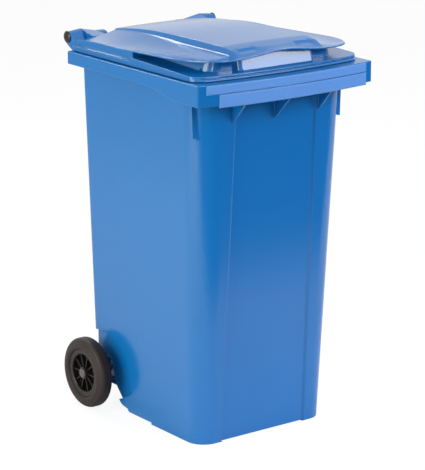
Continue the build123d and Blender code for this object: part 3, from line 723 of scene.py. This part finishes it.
def lean_walls(walls):
    """Lean the nose, the riser's sides and the front of the skirt back from the vertical."""
    for vertex in walls.data.vertices:
        x, y, z = vertex.co
        rise = z - LEDGE_TOP
        side = abs(x)
        if rise > NOSE_FOOT and y < NOSE_BACK:
            vertex.co.y += rise * NOSE_LEAN
        if rise > SLOPED_FOOT and y < SLOPED_FRONT and RISER_TURN < side < RISER_SIDE:
            share = (side - RISER_TURN) / (RISER_SIDE - RISER_TURN)
            vertex.co.x -= math.copysign(rise * SIDE_LEAN * share, x)
        outside = y < SKIRT_TURN and (y < SKIRT_FRONT or side > SKIRT_SIDE)
        if outside and SKIRT_LOW < z < SKIRT_HIGH:
            vertex.co.y += SKIRT_SLANT * min(1.0, (SKIRT_TURN - y) / SKIRT_TURN_RUN)


# One operator for each piece or group of pieces

class BIN_OT_tub(bpy.types.Operator):
    """Make the tub from the frame's body"""
    bl_idname = "bin.tub"
    bl_label = "Tub"

    def execute(self, context):
        tub = merged_copy("body", "tub")
        shape_lugs(tub)
        square_toe(tub)
        smooth(tub)
        tint = context.scene.bin_colours.tub
        paint(tub, polyethylene("Tub polyethylene", tint, gloss=0.16, comb=True))
        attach(tub, "bin")
        return {"FINISHED"}


class BIN_OT_lid_walls(bpy.types.Operator):
    """Make the lid's skirt, ledge, hood and riser, up to the underside of its top sheet"""
    bl_idname = "bin.lid_walls"
    bl_label = "Lid walls"

    def execute(self, context):
        sizes = context.scene.bin_lid
        tint = context.scene.bin_colours.tub
        blue = polyethylene("Lid wall polyethylene", tint, gloss=0.14)
        arms = merged_copy("lid", "lid_hinge_arms")
        cut(arms, (0, SPLIT, 0), (0, -1, 0))
        walls = merged_copy("lid", "lid_walls")
        cut(walls, (0, SPLIT, 0), (0, 1, 0))
        cut(walls, (0, 0, WALL_CUT), (0, 0, 1))
        divide_walls(walls)
        raise_walls(walls, sizes)
        lean_walls(walls)
        shape_arms(arms)
        for piece in (arms, walls):
            smooth(piece)
            paint(piece, blue)
            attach(piece, "lid")
        return {"FINISHED"}


class BIN_OT_lid_sheet(bpy.types.Operator):
    """Make the lid's top sheet with its spine, side grips and waved lip"""
    bl_idname = "bin.lid_sheet"
    bl_label = "Lid top"

    def execute(self, context):
        sizes = context.scene.bin_lid
        rows = [between(SHEET_BACK, RIDGE, step / SHEET_ROWS) for step in range(SHEET_ROWS)]
        rows += [between(RIDGE, LIP, math.sin(math.pi / 2 * step / LIP_ROWS))
                 for step in range(LIP_ROWS + 1)]
        across = 2 * (SPINE_COLUMNS + STEP_COLUMNS + WING_COLUMNS)
        width = across + 1
        deselect()
        bpy.ops.mesh.primitive_grid_add(x_subdivisions=across, y_subdivisions=len(rows) - 1,
                                        size=1.0)
        sheet = context.object
        sheet.name = sheet.data.name = "lid_top"
        # The grid's vertices run from the lip to the back, and across from left to right
        for vertex in sheet.data.vertices:
            y = rows[len(rows) - 1 - vertex.index // width]
            x = sheet_columns(y, sizes)[vertex.index % width]
            vertex.co = (x, y, sheet_height(x, y, sizes))
        finished_by(sheet, "SOLIDIFY", thickness=sizes.wall, offset=-1)
        finished_by(sheet, "BEVEL", width=1.3 * MM, segments=3, limit_method="ANGLE",
                    angle_limit=math.radians(60))
        smooth(sheet, angle=40)
        tint = context.scene.bin_colours.tub
        paint(sheet, polyethylene("Lid polyethylene", tint, gloss=0.14))
        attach(sheet, "lid")
        return {"FINISHED"}


class BIN_OT_running_gear(bpy.types.Operator):
    """Finish the wheels, the axle and the hinge pins"""
    bl_idname = "bin.running_gear"
    bl_label = "Running gear"

    def execute(self, context):
        tints = context.scene.bin_colours
        black = black_plastic("Wheel plastic", tints.black, gloss=0.3)
        tyre = rubber("Tyre rubber", tints.tyre)
        cap = black_plastic("Hub cap plastic", tints.cap, gloss=0.35)
        steel = plated_steel("Plated steel", tints.steel)
        for start, material in (
            ("wheel_rim", black), ("hinge_pin", black), ("axle_spacer", black),
            ("lock_plug", black), ("tyre", tyre), ("hub_cap", cap),
            ("lock_pin", steel), ("lock_spring", steel),
        ):
            for side in SIDES:
                paint(frame["nodes"][f"{start}_{side}"], material)
        paint(frame["nodes"]["axle"], steel)
        return {"FINISHED"}


# The strengths of the sky and the floor's glow, the floor's sizes, and the lamps
SKY_LIGHT = 0.62
SKY_MIRRORED = 1.02
DARK_FLOOR = (0.02, 0.02, 0.025, 1.0)
FLOOR_WIDTH = 60.0
FLOOR_DROP = 0.0005
PAPER_FADE = 0.42
PAPER_GLOW = 1.04
LAMP_AIM = (0, 0, 0.5)
# Each lamp's name, place, size, power in watts and tint
LAMPS = (
    ("key", (-3.4, -0.2, 1.5), 2.0, 92, (1.0, 1.0, 0.84)),
    ("fill", (1.4, -3.4, 2.9), 2.0, 105, (1.0, 1.0, 1.06)),
    ("back softbox", (-0.1, 2.5, 3.1), 0.8, 38, (1.0, 1.0, 1.0)),
    ("front strip", (-2.9, -3.9, 0.7), 0.5, 16, (1.0, 1.0, 1.0)),
    ("right strip", (2.3, -3.2, 1.95), 0.9, 26, (1.0, 1.0, 1.0)),
)


class BIN_OT_stage(bpy.types.Operator):
    """Set up the floor, the sky, the lamps and the camera"""
    bl_idname = "bin.stage"
    bl_label = "Stage"

    def execute(self, context):
        sizes = context.scene.bin_stage
        self.lay_floor(context, sizes)
        self.light_room(context)
        self.hang_lamps(context)
        outward = Vector((math.sin(sizes.azimuth) * math.cos(sizes.elevation),
                          -math.cos(sizes.azimuth) * math.cos(sizes.elevation),
                          math.sin(sizes.elevation)))
        bpy.ops.object.camera_add(
            location=Vector(sizes.target) + outward * sizes.distance,
            rotation=(math.pi / 2 - sizes.elevation, 0, sizes.azimuth))
        camera = context.object
        camera.data.lens = sizes.lens
        camera.data.clip_end = 100
        context.scene.camera = camera
        context.scene.view_settings.view_transform = "Standard"
        return {"FINISHED"}

    def lay_floor(self, context, sizes):
        """A pale paper floor that is dark only far in front, where it is out of sight."""
        deselect()
        bpy.ops.mesh.primitive_plane_add(size=FLOOR_WIDTH, location=(0, 0, -FLOOR_DROP))
        floor = context.object
        floor.name = "floor"
        finish = Finish("Pale floor", Roughness=0.9)
        _, y, _ = finish.axes()
        paper = finish.noise(scale=40.0, detail=3.0)
        near = y.step(sizes.paper_edge, PAPER_FADE)
        tint = finish.blend(paper, shade(sizes.floor, 0.99), shade(sizes.floor, 1.01))
        finish.feed("Base Color", finish.blend(near, DARK_FLOOR, tint))
        seen = finish.node("ShaderNodeLightPath", {}, output="Is Camera Ray")
        glow = finish.node("ShaderNodeEmission", {}, Color=(1, 1, 1, 1), Strength=PAPER_GLOW)
        surface = Value(finish, finish.shader.outputs[0])
        mixed = finish.node("ShaderNodeMixShader", {}, seen * sizes.glow, surface, glow)
        sheet = finish.tree.nodes["Material Output"].inputs["Surface"]
        finish.tree.links.new(mixed.socket, sheet)
        paint(floor, finish.material)

    def light_room(self, context):
        """A pale sky all round that is brighter in reflections and plain white to the eye."""
        world = bpy.data.worlds.new("Studio")
        context.scene.world = world
        world.use_nodes = True
        tree = world.node_tree
        sky = tree.nodes["Background"]
        sky.inputs["Color"].default_value = (1, 1, 1, 1)
        path = tree.nodes.new("ShaderNodeLightPath")
        strength = tree.nodes.new("ShaderNodeMapRange")
        strength.inputs["To Min"].default_value = SKY_LIGHT
        strength.inputs["To Max"].default_value = SKY_MIRRORED
        tree.links.new(path.outputs["Is Glossy Ray"], strength.inputs["Value"])
        seen = tree.nodes.new("ShaderNodeMath")
        seen.operation = "MAXIMUM"
        tree.links.new(strength.outputs["Result"], seen.inputs[0])
        tree.links.new(path.outputs["Is Camera Ray"], seen.inputs[1])
        tree.links.new(seen.outputs["Value"], sky.inputs["Strength"])

    def hang_lamps(self, context):
        """A key from the left, a fill in front, a softbox behind and two narrow strips."""
        for name, place, size, power, tint in LAMPS:
            bpy.ops.object.light_add(type="AREA", location=place)
            lamp = context.object
            lamp.name = name
            lamp.data.size = size
            lamp.data.energy = power
            lamp.data.color = tint
            aim = Vector(LAMP_AIM) - Vector(place)
            lamp.rotation_euler = aim.to_track_quat("-Z", "Y").to_euler()


class BIN_PT_panel(bpy.types.Panel):
    """The steps that build the bin, in order"""
    bl_idname = "BIN_PT_panel"
    bl_label = "Wheelie bin"
    bl_space_type = "VIEW_3D"
    bl_region_type = "UI"
    bl_category = "Bin"

    def draw(self, context):
        column = self.layout.column()
        for step in STEPS:
            column.operator(step.bl_idname)


STEPS = (BIN_OT_tub, BIN_OT_lid_walls, BIN_OT_lid_sheet, BIN_OT_running_gear, BIN_OT_stage)
GROUPS = {"bin_colours": BinColours, "bin_lid": LidSizes, "bin_stage": StageSizes}


def register():
    """Register the groups of sizes, the operators and the panel."""
    for group in GROUPS.values():
        bpy.utils.register_class(group)
    for name, group in GROUPS.items():
        setattr(bpy.types.Scene, name, bpy.props.PointerProperty(type=group))
    for step in (*STEPS, BIN_PT_panel):
        bpy.utils.register_class(step)


def unregister():
    """Take back what register added."""
    for step in reversed((*STEPS, BIN_PT_panel)):
        bpy.utils.unregister_class(step)
    for name, group in reversed(GROUPS.items()):
        delattr(bpy.types.Scene, name)
        bpy.utils.unregister_class(group)


def main():
    """Build the bin and its stage."""
    register()
    bpy.ops.bin.tub()
    bpy.ops.bin.lid_walls()
    bpy.ops.bin.lid_sheet()
    bpy.ops.bin.running_gear()
    bpy.ops.bin.stage()


if __name__ == "__main__":
    main()
